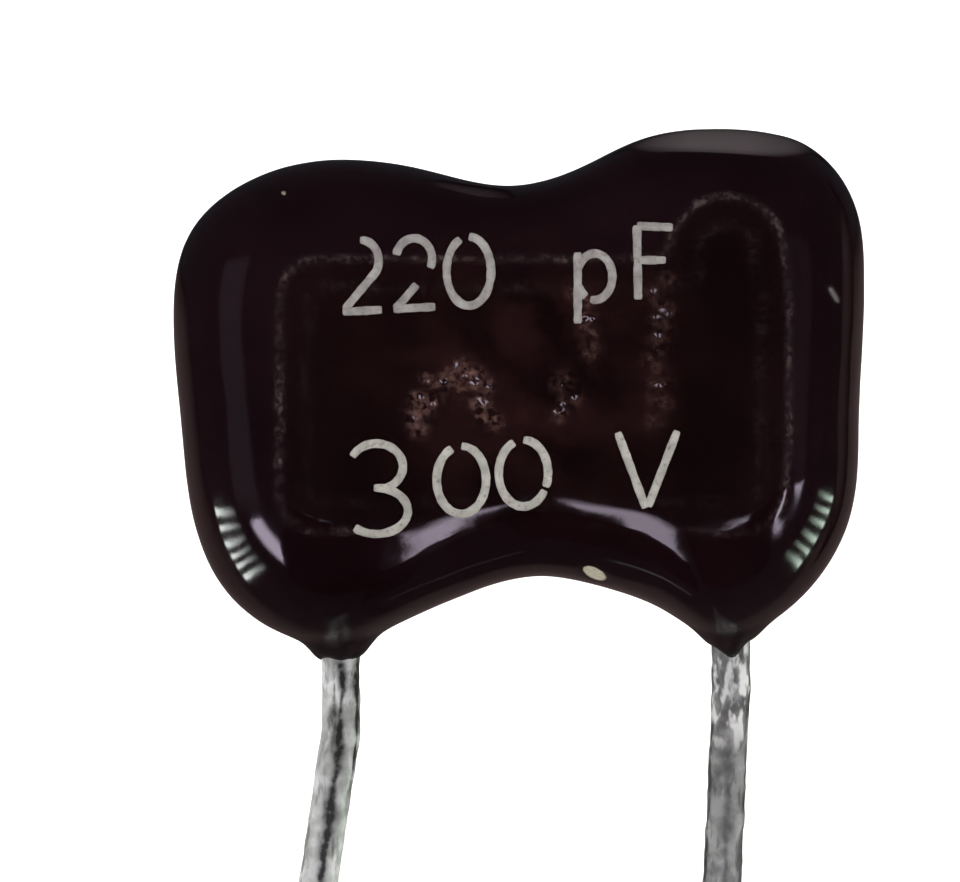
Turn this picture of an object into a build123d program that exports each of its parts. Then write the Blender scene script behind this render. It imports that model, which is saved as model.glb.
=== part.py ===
"""A dipped silver-mica capacitor: a fixed capacitor with two wire leads. Millimetres.

Silvered mica sheets are stacked with foil strips between them. Every other foil comes
out at the left end, the rest at the right. Each end's foils fold over the front of the
stack, a crimped metal clamp holds them there, and a wire lead is soldered to the clamp.
The whole element is dipped twice in resin.

Frame: +Z up, printed front face towards -Y, width along X. The origin is midway between
the two leads, in the plane where they leave the resin, which is where a board would be.
"""

import os
from math import cos, radians, sin

from build123d import *

# Resin body, by the edges of its outline seen from the front
BODY_LEFT, BODY_RIGHT = -5.98, 5.42
BODY_BOTTOM, BODY_TOP = 0.16, 8.69
BODY_THICKNESS = 4.3
OUTER_COAT = 0.5
# How far each side of a face lies inside the outline, across the rounded rim
RIM_LEFT, RIM_RIGHT, RIM_BOTTOM, RIM_TOP = 1.86, 1.36, 2.0, 1.36
RIM_TURNS = (-90, -72, -50, -26, 0, 26, 50, 72, 90)
# The outline, clockwise from the middle of the left side: two lobes and a waist
OUTLINE = (
    (-5.98, 5.50),
    (-5.72, 6.92),
    (-4.70, 7.82),
    (-3.10, 8.17),
    (-1.74, 7.98),
    (-0.43, 7.74),
    (0.60, 7.98),
    (1.60, 8.45),
    (3.10, 8.69),
    (4.46, 8.40),
    (5.22, 7.50),
    (5.42, 6.20),
    (5.33, 4.00),
    (5.17, 2.22),
    (4.55, 1.12),
    (3.75, 0.47),
    (3.05, 0.26),
    (2.10, 0.70),
    (0.95, 1.13),
    (0.00, 1.27),
    (-1.08, 1.00),
    (-2.20, 0.52),
    (-3.20, 0.16),
    (-4.20, 0.34),
    (-5.08, 1.00),
    (-5.62, 2.10),
    (-5.86, 3.86),
)

# Leads
LEAD_SPACING = 6.4
WIRE_DIAMETER = 0.64
LEAD_TIP_Z = -14.0
TAIL_SHIFT = {"left": -0.54, "right": -0.18}
TAIL_TOP_Z = {"left": -4.9, "right": -4.6}
LEAN_TOP_Z = {"left": -1.25, "right": -0.6}
JOG_BOTTOM_Z, JOG_TOP_Z = 0.45, 1.6
TAIL_BEND, JOG_BEND = 2.0, 0.6
# Each tip is a wedge left by cutters: its half angle, and the blunt edge's half width
NIP_HALF_ANGLE, NIP_EDGE = 35.0, 0.05
PADDLE_WIDTH, PADDLE_THICKNESS, PADDLE_CORNER = 0.92, 0.35, 0.16
PADDLE_NECK = 0.5
PADDLE_START_Z, PADDLE_BOTTOM_Z, PADDLE_TOP_Z = 1.9, 2.75, 5.4

# The resin that climbs down each wire
MENISCUS_TOP = (1.05, 0.85)
MENISCUS_WAIST = (0.56, 0.34)
MENISCUS_LIP = (0.36, -0.14)

# Mica element, centred on ELEMENT_X and ELEMENT_Z, and on the body's mid-plane
ELEMENT_X, ELEMENT_Z = -0.06, 4.45
ACTIVE_SHEETS = 8
MICA_LENGTH, MICA_HEIGHT, MICA_THICKNESS, MICA_CORNER = 7.2, 5.4, 0.06, 0.2
SILVER_THICKNESS = 0.01
SILVER_NEAR_MARGIN, SILVER_FAR_MARGIN, SILVER_SIDE_MARGIN = 0.15, 0.8, 0.3
FOIL_THICKNESS, FOIL_HEIGHT, FOIL_BEND = 0.03, 4.4, 0.04
FOIL_REACH = 2.6
FOIL_TAB_LENGTH = 1.5
TAB_PITCH, FOLD_PITCH, FOLD_GAP = 0.034, 0.04, 0.03

# End clamps
CLAMP_THICKNESS, CLAMP_LENGTH, CLAMP_HEIGHT, CLAMP_BEND = 0.22, 1.9, 5.0, 0.14
CLAMP_SLACK = 0.01

# Solder over each flattened wire end
SOLDER_WIDTH, SOLDER_DEPTH, SOLDER_HEIGHT = 1.5, 0.5, 3.5

# How well muscovite mica stores charge, and free space, in picofarads per millimetre
MICA_RELATIVE_PERMITTIVITY, FREE_SPACE_PERMITTIVITY = 6.9, 8.854e-3

# Worked out from the above
SIDES = {"left": -1, "right": 1}
SHEET_PITCH = MICA_THICKNESS + 2 * SILVER_THICKNESS + FOIL_THICKNESS
FOIL_COUNT = ACTIVE_SHEETS + 1
STACK_THICKNESS = ACTIVE_SHEETS * SHEET_PITCH + FOIL_THICKNESS + 2 * MICA_THICKNESS
STACK_FRONT = -STACK_THICKNESS / 2
TAB_COUNT = (FOIL_COUNT + 1) // 2
TAB_STACK = TAB_COUNT * TAB_PITCH
FOLD_END = MICA_LENGTH / 2 + FOLD_GAP + TAB_COUNT * FOLD_PITCH
CLAMP_FRONT = STACK_FRONT - TAB_STACK - CLAMP_SLACK - CLAMP_THICKNESS
CLAMP_BACK = -STACK_FRONT + CLAMP_SLACK + CLAMP_THICKNESS
CLAMP_END = FOLD_END + CLAMP_THICKNESS
NIP_SIZE = 4 * WIRE_DIAMETER
PADDLE_Y = CLAMP_FRONT - PADDLE_THICKNESS / 2


# ---------------------------------------------------------------- resin coats


def between(value, old_low, old_high, new_low, new_high):
    """value moved from one range to another in proportion."""
    return new_low + (value - old_low) * (new_high - new_low) / (old_high - old_low)


def rim_section(turn, skin):
    """The body's outline at one turn round its rim: 0 at the widest, 90 at a face."""
    depth = 1 - cos(radians(turn))
    low_x = BODY_LEFT + skin + depth * RIM_LEFT
    high_x = BODY_RIGHT - skin - depth * RIM_RIGHT
    low_z = BODY_BOTTOM + skin + depth * RIM_BOTTOM
    high_z = BODY_TOP - skin - depth * RIM_TOP
    y = (BODY_THICKNESS / 2 - skin) * sin(radians(turn))
    points = [
        (
            between(x, BODY_LEFT, BODY_RIGHT, low_x, high_x),
            y,
            between(z, BODY_BOTTOM, BODY_TOP, low_z, high_z),
        )
        for x, z in OUTLINE
    ]
    return make_face(Spline(points, periodic=True))


def pillow(skin):
    """The body's rounded shape, made smaller by skin all round."""
    return loft([rim_section(turn, skin) for turn in RIM_TURNS])


def meniscus(side):
    """The trumpet of resin where one wire comes out."""
    top_r, top_z = MENISCUS_TOP
    lip_r, lip_z = MENISCUS_LIP
    outline = Polyline((0, lip_z), (0, top_z), (top_r, top_z)) + Polyline(
        (lip_r, lip_z), (0, lip_z)
    )
    outline += ThreePointArc((top_r, top_z), MENISCUS_WAIST, (lip_r, lip_z))
    profile = Plane.XZ * make_face(outline)
    return Pos(lead_x(side), 0, 0) * revolve(profile, Axis.Z)


def outer_coat(leads):
    """The glossy outer dip, with the resin that runs down each wire."""
    shape = pillow(0)
    for side in SIDES:
        shape += meniscus(side)
    shape -= pillow(OUTER_COAT)
    for side in SIDES:
        shape -= leads[side]
    return shape


def undercoat(leads):
    """The first dip, cast round the element, its clamps and the solder."""
    shape = pillow(OUTER_COAT) - stack_envelope()
    for side in SIDES:
        shape -= clamp_envelope(side)
        shape -= solder_mound(side)
        shape -= leads[side]
    return shape


# --------------------------------------------------------------- mica element


def stack_position(x=0, y=0):
    """A place in the element, from its centre."""
    return Pos(ELEMENT_X + x, y, ELEMENT_Z)


def stack_envelope():
    """The room the sheets take."""
    return stack_position() * Box(MICA_LENGTH, STACK_THICKNESS, MICA_HEIGHT)


def mica_sheet(front_y):
    """One mica sheet with clipped corners, its front face at front_y."""
    sheet = Box(MICA_LENGTH, MICA_THICKNESS, MICA_HEIGHT)
    sheet = chamfer(sheet.edges().filter_by(Axis.Y), MICA_CORNER)
    return stack_position(y=front_y + MICA_THICKNESS / 2) * sheet


def silver(front_y, direction):
    """A fired silver electrode that reaches the end that direction points to."""
    length = MICA_LENGTH - SILVER_NEAR_MARGIN - SILVER_FAR_MARGIN
    height = MICA_HEIGHT - 2 * SILVER_SIDE_MARGIN
    shift = direction * (SILVER_FAR_MARGIN - SILVER_NEAR_MARGIN) / 2
    patch = Box(length, SILVER_THICKNESS, height)
    return stack_position(shift, front_y + SILVER_THICKNESS / 2) * patch


def foil(middle_y, direction, order):
    """A foil that leaves the stack at one end and folds over its front.

    order is 1 for the innermost fold at that end.
    """
    fold_x = direction * (MICA_LENGTH / 2 + FOLD_GAP + (order - 1) * FOLD_PITCH)
    tab_y = STACK_FRONT - (order - 0.5) * TAB_PITCH
    path = FilletPolyline(
        (-direction * FOIL_REACH, middle_y),
        (fold_x, middle_y),
        (fold_x, tab_y),
        (fold_x - direction * FOIL_TAB_LENGTH, tab_y),
        radius=FOIL_BEND,
    )
    return stack_position() * strip(path, FOIL_THICKNESS, FOIL_HEIGHT)


def strip(path, thickness, height):
    """A flat strip with rounded ends, whose middle line from above is path."""
    face = make_face(offset(path, thickness / 2, kind=Kind.ARC, side=Side.BOTH))
    return extrude(face, height / 2, both=True)


def element_layers():
    """Every layer of the stack by name, from the front cover to the back cover."""
    layers = {"cover_mica_front": mica_sheet(STACK_FRONT)}
    y = STACK_FRONT + MICA_THICKNESS
    for number in range(1, FOIL_COUNT + 1):
        direction = -1 if number % 2 else 1
        order = (number + 1) // 2
        layers[f"foil_{number}"] = foil(y + FOIL_THICKNESS / 2, direction, order)
        y += FOIL_THICKNESS
        if number == FOIL_COUNT:
            break
        layers[f"silver_{number}_front"] = silver(y, direction)
        y += SILVER_THICKNESS
        layers[f"mica_{number}"] = mica_sheet(y)
        y += MICA_THICKNESS
        layers[f"silver_{number}_back"] = silver(y, -direction)
        y += SILVER_THICKNESS
    layers["cover_mica_back"] = mica_sheet(y)
    return layers


# ----------------------------------------------------------- clamps and leads


def clamp(side):
    """A crimped U-shaped end clamp, open towards the middle."""
    half = CLAMP_THICKNESS / 2
    end_x = SIDES[side] * (CLAMP_END - half)
    open_x = SIDES[side] * (CLAMP_END - CLAMP_LENGTH + half)
    path = FilletPolyline(
        (open_x, CLAMP_FRONT + half),
        (end_x, CLAMP_FRONT + half),
        (end_x, CLAMP_BACK - half),
        (open_x, CLAMP_BACK - half),
        radius=CLAMP_BEND,
    )
    return stack_position() * strip(path, CLAMP_THICKNESS, CLAMP_HEIGHT)


def clamp_envelope(side):
    """The room a clamp takes, with the foils folded inside it."""
    place = stack_position(
        SIDES[side] * (CLAMP_END - CLAMP_LENGTH / 2), (CLAMP_FRONT + CLAMP_BACK) / 2
    )
    return place * Box(CLAMP_LENGTH, CLAMP_BACK - CLAMP_FRONT, CLAMP_HEIGHT)


def lead_x(side):
    """Where a wire leaves the resin."""
    return SIDES[side] * LEAD_SPACING / 2


def lead(side):
    """One tinned wire: nipped tail, gentle bends, a jog, and a flattened end."""
    x = lead_x(side)
    tail_x = x + TAIL_SHIFT[side]
    route = FilletPolyline(
        (tail_x, 0, LEAD_TIP_Z),
        (tail_x, 0, TAIL_TOP_Z[side]),
        (x, 0, LEAN_TOP_Z[side]),
        (x, 0, JOG_BOTTOM_Z),
        (x, PADDLE_Y, JOG_TOP_Z),
        (x, PADDLE_Y, PADDLE_START_Z),
        radius=(TAIL_BEND, TAIL_BEND, JOG_BEND, JOG_BEND),
    )
    round_section = Circle(WIRE_DIAMETER / 2)
    wire = sweep(Plane(route @ 0, z_dir=route % 0) * round_section, path=route)
    return wire + paddle(x) - nip(tail_x)


def paddle(x):
    """A wire's inner end, flattened and widening upwards from a neck."""
    neck, flat = [
        RectangleRounded(width, PADDLE_THICKNESS, PADDLE_CORNER)
        for width in (PADDLE_NECK, PADDLE_WIDTH)
    ]
    start = Pos(x, PADDLE_Y, PADDLE_START_Z)
    bottom = Pos(x, PADDLE_Y, PADDLE_BOTTOM_Z)
    taper = loft([start * neck, bottom * flat])
    return taper + extrude(bottom * flat, PADDLE_TOP_Z - PADDLE_BOTTOM_Z)


def nip(x):
    """What a pair of cutters takes off a wire's tip, leaving a blunt wedge."""
    cutter = Box(
        NIP_SIZE, NIP_SIZE, NIP_SIZE, align=(Align.CENTER, Align.MIN, Align.MAX)
    )
    edge = Pos(x, NIP_EDGE, LEAD_TIP_Z)
    near = edge * Rot(X=90 - NIP_HALF_ANGLE) * cutter
    return near + mirror(near, Plane.XZ)


def solder_mound(side):
    """The outside of the solder, an egg whose rear lies within the clamp."""
    half_width, half_height = SOLDER_WIDTH / 2, SOLDER_HEIGHT / 2
    outline = EllipticalCenterArc(
        (0, 0), half_width, half_height, start_angle=-90, arc_size=180
    )
    outline += Line((0, half_height), (0, -half_height))
    egg = revolve(Plane.XZ * make_face(outline), Axis.Z)
    middle_y = CLAMP_FRONT + half_width - SOLDER_DEPTH
    return Pos(lead_x(side), middle_y, (PADDLE_BOTTOM_Z + PADDLE_TOP_Z) / 2) * egg


def solder(side, lead_solid):
    """A mound of solder that holds a flattened wire end to its clamp."""
    return solder_mound(side) - clamp_envelope(side) - lead_solid


# ------------------------------------------------------------------- assembly


def capacitance_pf():
    """The capacitance of the stack, from the area where opposite electrodes overlap."""
    permittivity = MICA_RELATIVE_PERMITTIVITY * FREE_SPACE_PERMITTIVITY
    area = (MICA_LENGTH - 2 * SILVER_FAR_MARGIN) * (MICA_HEIGHT - 2 * SILVER_SIDE_MARGIN)
    return ACTIVE_SHEETS * permittivity * area / MICA_THICKNESS


def build():
    """Every sub-part by node name."""
    leads = {side: lead(side) for side in SIDES}
    parts = element_layers()
    for side in SIDES:
        parts[f"lead_{side}"] = leads[side]
        parts[f"clamp_{side}"] = clamp(side)
        parts[f"solder_{side}"] = solder(side, leads[side])
    parts["undercoat"] = undercoat(leads)
    parts["outer_coat"] = outer_coat(leads)
    return parts


os.makedirs("parts", exist_ok=True)
for name, shape in build().items():
    export_step(shape, f"parts/{name}.step")
print(f"stack {STACK_THICKNESS:.2f} thick, about {capacitance_pf():.0f} pF")
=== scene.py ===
"""The looks of a dipped silver-mica capacitor, built round its CAD frame.

Lengths are in millimetres, in the CAD frame, and meshes are written in metres. The coat
and both wires are new meshes, the printing is added to the coat, and the layers inside
keep their CAD meshes with better materials.
"""

import math

import bpy
import numpy as np
from mathutils import Matrix, Vector, noise
from mathutils.bvhtree import BVHTree


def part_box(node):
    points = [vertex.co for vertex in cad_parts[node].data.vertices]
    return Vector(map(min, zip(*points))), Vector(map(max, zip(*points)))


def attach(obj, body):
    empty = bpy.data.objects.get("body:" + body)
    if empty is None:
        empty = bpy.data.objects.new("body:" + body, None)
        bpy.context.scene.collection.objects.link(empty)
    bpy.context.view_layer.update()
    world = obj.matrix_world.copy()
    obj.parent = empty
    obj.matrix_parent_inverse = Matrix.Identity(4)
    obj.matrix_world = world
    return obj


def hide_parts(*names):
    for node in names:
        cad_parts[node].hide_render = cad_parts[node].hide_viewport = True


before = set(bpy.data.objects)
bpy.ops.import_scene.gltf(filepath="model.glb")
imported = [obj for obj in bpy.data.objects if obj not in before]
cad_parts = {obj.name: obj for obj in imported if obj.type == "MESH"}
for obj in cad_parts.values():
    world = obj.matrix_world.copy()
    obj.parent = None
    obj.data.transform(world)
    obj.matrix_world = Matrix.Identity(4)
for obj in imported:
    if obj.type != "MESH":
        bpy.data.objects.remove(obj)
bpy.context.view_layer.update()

METRE = 0.001  # one millimetre in metres
SIDES = ("left", "right")

# Camera
VIEW_WIDTH = 15.77
VIEW_X, VIEW_Z = -0.92, 3.52
CAMERA_DISTANCE = 110.0

# The coat's outline, clockwise from the middle of the left side: two lobes and a waist
OUTLINE = (
    (-5.98, 5.50),
    (-5.72, 6.92),
    (-4.70, 7.82),
    (-3.10, 8.17),
    (-1.74, 7.98),
    (-0.43, 7.74),
    (0.60, 7.98),
    (1.60, 8.45),
    (3.10, 8.69),
    (4.46, 8.40),
    (5.22, 7.50),
    (5.42, 6.20),
    (5.33, 4.00),
    (5.17, 2.22),
    (4.55, 1.12),
    (3.75, 0.47),
    (3.05, 0.26),
    (2.10, 0.70),
    (0.95, 1.13),
    (0.00, 1.27),
    (-1.08, 1.00),
    (-2.20, 0.52),
    (-3.20, 0.16),
    (-4.20, 0.34),
    (-5.08, 1.00),
    (-5.62, 2.10),
    (-5.86, 3.86),
)
HALF_THICKNESS = 2.15
# How far the rounded rim reaches into each face, as (x, z)
RIM_LOW, RIM_HIGH = (2.3, 2.5), (1.7, 1.7)

# How finely the coat is meshed: points round it, and rings over each stretch
AROUND = 576
FRONT_RINGS, FRONT_RIM_RINGS, BACK_RIM_RINGS, BACK_RINGS = 92, 48, 20, 12

# Raised shapes that the clamped stack makes in the faces, as (low, high) corners
STACK_CORNERS, STACK_ROUNDING = ((-4.16, 2.05), (3.98, 6.46)), 0.65
CLAMP_CORNERS, CLAMP_ROUNDING = ((2.15, 2.30), (3.98, 7.48)), 0.9
CORNER_BLEND = 0.12
PLATEAU_RISE, PLATEAU_EDGE = 0.05, 0.20
RIDGE_RISE, RIDGE_WIDTH = 0.014, 0.055
SECOND_RIDGE_IN, SECOND_RIDGE_SHARE = 0.46, 0.12
# Where thick resin hides the ridge above the waist, and softens the outline's edge
MELT_AT, MELT_SIZE, MELT_SOFTENING = (0.2, 1.9), (3.8, 0.6), 2.0
SAG_X, SAG_DEPTH, SAG_WIDTH = -0.2, 0.16, 2.1
# Uneven dipping: the height of its swells and ripples, how many there are to the
# millimetre, and how far the whole coat sits back so that they stay inside the CAD shape
SWELL_HEIGHT, SWELLS_PER_MM = 0.012, 0.55
RIPPLE_HEIGHT, RIPPLES_PER_MM = 0.0035, 1.9
COAT_INSET = 0.026
# How squarely a point faces front or back when the relief starts there, and when it is full
FACING = (0.15, 0.85)

# The flat on the right lobe's top: a point on it, its normal, and how softly it starts
FLAT_POINT, FLAT_NORMAL, FLAT_BLEND = (3.3, -1.87, 8.1), (0.05, -0.311, 0.949), 0.025
FLAT_CROWN, FLAT_MIDDLE = 0.05, (3.1, -1.15)

# Chains of small bubbles and pits in the front face: how coppery each is, partly as painted
# glints, and its path
PIT_CHAINS = (
    (1.0, ((-1.86, 3.75), (-1.82, 4.27), (-1.58, 4.55), (-1.25, 4.66))),
    (1.0, ((-1.25, 4.66), (-0.92, 4.47), (-0.72, 3.80))),
    (0.8, ((-1.62, 4.36), (-1.25, 4.50), (-1.00, 4.30), (-0.86, 3.95))),
    (0.45, ((0.52, 5.98), (0.74, 5.72), (0.82, 5.47), (0.77, 5.26), (0.89, 5.01))),
    (0.25, ((2.06, 6.10), (1.96, 5.50), (2.00, 5.09), (1.87, 4.68), (2.04, 4.44), (1.90, 3.78))),
    (0.35, ((0.42, 4.52), (0.50, 4.20), (0.30, 3.86))),
)
PIT_SPACING, PIT_SPREAD = 0.085, 0.075
PIT_RADII, PIT_HEIGHTS = (0.05, 0.095), (-0.037, 0.027)
PIT_SEED = 4

# Marks on the front: where each lies and its size
BUBBLE_AT, BUBBLE_RADIUS, BUBBLE_RIM_WIDTH, BUBBLE_HOLE_WIDTH = (-4.12, 7.59), 0.08, 0.03, 0.05
BUBBLE_RIM_HEIGHT, BUBBLE_HOLE_DEPTH = 0.02, 0.03
SCRATCH_FROM, SCRATCH_TO, SCRATCH_WIDTH = (4.80, 5.97), (4.91, 5.80), 0.03
SCRATCH_DEPTH, CHIP_DEPTH = 0.012, 0.03
CHIP_AT, CHIP_LENGTH, CHIP_WIDTH, CHIP_SLOPE = (0.93, 1.30), 0.21, 0.075, -0.42

# Where the resin meets each wire: its fall all round, and more of it in front
MENISCUS_FALL = {"left": 0.24, "right": 0.15}
DRIP_FALL = {"left": 0.05, "right": 0.21}
MENISCUS_START, MENISCUS_SPREAD = 0.3, 0.26
NECK_TOP = 1.25

# Wires
WIRE_STEP, WIRE_SIDES = 0.055, 72
BARE_WIRE_TOP = 0.15
LUMP_HEIGHT, DENT_HEIGHT = 0.022, 0.010
# Dark seams down the front and back of each wire, and painted shade along its two edges (the
# entries placed near ±0.9): place and width as shares of its half width, lowest and highest z,
# and strength
SEAMS_AND_EDGE_SHADE = {
    "left": (
        (0.04, 0.26, -14.1, 0.1, 1.0),
        (0.90, 0.17, -2.5, 0.1, 1.0),
        (-0.35, 0.16, -1.9, -0.2, 0.7),
        (-0.92, 0.10, -14.1, -2.4, 0.6),
    ),
    "right": (
        (0.05, 0.24, -14.1, -1.2, 0.55),
        (0.92, 0.12, -14.1, 0.1, 0.65),
        (-0.93, 0.11, -14.1, -0.9, 0.75),
        (0.02, 0.26, -0.75, -0.25, 0.8),
    ),
}
SEAM_DEPTH, SEAM_WANDER = 0.022, 0.26
# The dull and the brighter grey of each wire, with painted light and shade: the left wire's greys
# are far lighter than the right's, though both are the same tinned wire
WIRE_LIT_AND_SHADED_TONES = {
    "left": ((0.50, 0.51, 0.48), (0.90, 0.91, 0.88)),
    "right": ((0.16, 0.16, 0.155), (0.42, 0.42, 0.41)),
}

# Printing: each character's left edge, foot, width and height
MARKING = (
    ("2", -3.16, 5.60, 0.66, 1.16),
    ("2", -2.30, 5.65, 0.66, 1.14),
    ("0", -1.46, 5.70, 0.72, 1.12),
    ("p", 0.62, 5.76, 0.62, 0.82),
    ("F", 1.58, 5.80, 0.62, 1.20),
    ("3", -3.06, 2.02, 1.02, 1.46),
    ("0", -1.62, 2.34, 0.80, 1.10),
    ("0", -0.62, 2.46, 0.80, 1.08),
    ("V", 1.30, 2.44, 0.98, 1.22),
)
STROKE_WIDTH, INK_RISE, INK_STEP = 0.16, 0.012, 0.026
WORN_BELOW = -0.34

# Studio: a white bowl, and lit cards aimed at the coat's middle
FLOOR_Z = -14.0
BOWL_FLOOR, BOWL_CURVE, BOWL_WALL = 300.0, 250.0, 900.0
STUDIO_GLOW, WORLD_GLOW = 0.56, 0.03
TARGET = (-0.3, 0.0, 4.2)
WARM, PALE, LILAC = (1.0, 0.72, 0.70), (1.0, 0.87, 0.90), (0.92, 0.80, 1.0)
CARD_DISTANCE = 60.0
# Two dim cards behind the object, for its rims: ends, width, radiance, softness and fades
BACK_CARDS = {
    "behind": ((-210, 90, -40), (210, 90, -40), 140, 0.12, 0.3, (0.2, 0.2)),
    "behind_right": ((70, 60, 4), (210, 60, 4), 110, 0.14, 0.5, (0.4, 0.2)),
}
# Two tall dim boxes at the sides: ends as turn and angle, width, radiance and softness
BOXES = {
    "left": ((60, 205), (60, 150), 34, 0.20, 0.35),
    "right": ((40, 335), (40, 30), 30, 0.10, 0.6),
}
# What the corners of the coat mirror: a comb of cards and a slat beside each
CORNERS = {"left": (-4.9, -1.4, 1.9), "right": (4.6, -1.5, 2.1)}
COMB_TEETH, COMB_WIDTH, COMB_TURNS = 6, 2.9, (107, 74)
# Each comb's first angle, the step to the next tooth, and each tooth's lean
COMB_ANGLES = {"left": (195.5, 5.2, 4.0), "right": (343.5, -5.2, -2.5)}
COMB_LIGHT = {"left": (12.0, (0.94, 1.0, 0.97)), "right": (9.0, (0.80, 1.0, 0.84))}
# Each slat's ends as turn and angle, then its width, radiance and softness
SLATS = {
    "left": ((56, 203), (50, 238), 18, 8.0, 0.5),
    "right": ((42, 342), (52, 312), 14, 7.0, 0.6),
}
# What the right lobe's flat mirrors: a dim card that arches over it from turn to turn
LOBE, LOBE_CARD_TURNS, LOBE_CARD_DISTANCE = (3.5, -1.0, 8.3), (120, 166), 10.0
LOBE_CARD_WIDTH, LOBE_CARD_RADIANCE, LOBE_CARD_FADES = 8.0, 0.32, (0.1, 0.5)
OVERHEAD = 90
# What the slope above the waist mirrors
WAIST, BOUNCE_TURN, BOUNCE_WIDTH = (0.0, -1.7, 2.0), 42.0, 46.0
# The bounce cards' first and last angle, radiance and fades at their ends
BOUNCES = {
    "left": (228.0, 252.5, 5.0, (0.4, 0.15)),
    "right": (291.0, 314.0, 6.4, (0.15, 0.3)),
}
# Black flags that keep the bright cards off the lobes: middle, width and height
FLAGS = {
    "left_far_flag": ((-7.4, -8.9, -4.9), 5.0, 10.5),
    "right_far_flag": ((7.8, -8.9, -4.4), 4.6, 10.5),
    "left_near_flag": ((-3.3, -4.1, -0.35), 2.4, 3.6),
    "right_near_flag": ((3.4, -4.1, -0.6), 2.4, 3.6),
    "low_flag": ((-0.45, -4.1, -3.9), 3.1, 4.4),
}
FLAG_TILT = 42.0


# -------------------------------------------------------------------- shapes


def closed_curve(points, count):
    """count points, evenly spaced, along the smooth closed curve through points."""
    knots = np.array(points)
    after = np.roll(knots, -1, axis=0)
    span = np.linalg.norm(after - knots, axis=1)
    before = np.roll(span, 1)
    matrix = np.diag(2 / before + 2 / span)
    for i in range(len(knots)):
        matrix[i, i - 1] = 1 / before[i]
        matrix[i, (i + 1) % len(knots)] = 1 / span[i]
    pull = (after - knots) / span[:, None] ** 2
    slopes = np.linalg.solve(matrix, 3 * (pull + np.roll(pull, 1, axis=0)))
    u = np.linspace(0, 1, 40, endpoint=False)[None, :, None]
    start, end = knots[:, None], after[:, None]
    leave = (slopes * span[:, None])[:, None]
    arrive = (np.roll(slopes, -1, axis=0) * span[:, None])[:, None]
    curve = start * (1 + 2 * u) * (1 - u) ** 2 + leave * u * (1 - u) ** 2
    curve = curve + end * u**2 * (3 - 2 * u) - arrive * u**2 * (1 - u)
    curve = curve.reshape(-1, 2)
    return evenly(np.vstack([curve, curve[:1]]), count, endpoint=False)


def evenly(path, count, endpoint=True):
    """count points, evenly spaced, along a run of points."""
    steps = np.linalg.norm(np.diff(path, axis=0), axis=1)
    travel = np.concatenate([[0], np.cumsum(steps)])
    wanted = np.linspace(0, travel[-1], count, endpoint=endpoint)
    return np.column_stack([np.interp(wanted, travel, column) for column in path.T])


def bell(distance, width):
    """1 where distance is 0, falling smoothly to 0 past width."""
    return np.exp(-((distance / width) ** 2))


def ramp(value, low, high):
    """0 below low, 1 above high, smooth between."""
    share = np.clip((value - low) / (high - low), 0, 1)
    return share * share * (3 - 2 * share)


def soft_min(a, b, blend):
    """The smaller of two values, rounded over where they meet."""
    return -blend * np.logaddexp(-a / blend, -b / blend)


def noise_at(points, per_mm, shift=0.0):
    """Smooth noise from -1 to 1 at each point, per_mm waves to the millimetre."""
    scaled = points * per_mm + shift
    return np.array([noise.noise(Vector(point)) for point in scaled])


def rounded_box(x, z, corners, rounding):
    """How far points lie outside a rounded rectangle: below 0 inside it."""
    (low_x, low_z), (high_x, high_z) = corners
    dx = np.abs(x - (low_x + high_x) / 2) - (high_x - low_x) / 2 + rounding
    dz = np.abs(z - (low_z + high_z) / 2) - (high_z - low_z) / 2 + rounding
    outside = np.hypot(np.maximum(dx, 0), np.maximum(dz, 0))
    return outside + np.minimum(np.maximum(dx, dz), 0) - rounding


def mesh_object(name, points, faces, material):
    """A smooth mesh object from points in millimetres."""
    mesh = bpy.data.meshes.new(name)
    mesh.from_pydata((np.asarray(points) * METRE).tolist(), [], faces)
    mesh.polygons.foreach_set("use_smooth", [True] * len(mesh.polygons))
    mesh.materials.append(material)
    mesh.validate()
    made = bpy.data.objects.new(name, mesh)
    bpy.context.scene.collection.objects.link(made)
    return made


def mark_points(piece, name, values):
    """Stores a value at each point of a skin of rings, with 0 at its two end points."""
    attribute = piece.data.attributes.new(name, "FLOAT", "POINT")
    attribute.data.foreach_set("value", np.append(values, [0, 0]).astype(np.float32))


def ring_faces(rings, around, closed_ends=True):
    """The faces of a skin of rings, with a fan to one more point at each end."""
    faces = []
    for ring in range(rings - 1):
        for i in range(around):
            j = (i + 1) % around
            low, high = ring * around, (ring + 1) * around
            faces.append((low + i, low + j, high + j, high + i))
    if closed_ends:
        first, last = rings * around, rings * around + 1
        top = (rings - 1) * around
        for i in range(around):
            j = (i + 1) % around
            faces.append((first, j, i))
            faces.append((last, top + i, top + j))
    return faces


# ---------------------------------------------------------------------- coat


def ring_places():
    """Each ring's share of the way out over a face, and its turn round the rim."""
    places = [((i + 1) / FRONT_RINGS, 90.0) for i in range(FRONT_RINGS)]
    places += [(1.0, 90 - 90 * (i + 1) / FRONT_RIM_RINGS) for i in range(FRONT_RIM_RINGS)]
    places += [(1.0, -90 * (i + 1) / BACK_RIM_RINGS) for i in range(BACK_RIM_RINGS)]
    places += [(1 - (i + 1) / (BACK_RINGS + 1), -90.0) for i in range(BACK_RINGS)]
    return places


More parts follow.
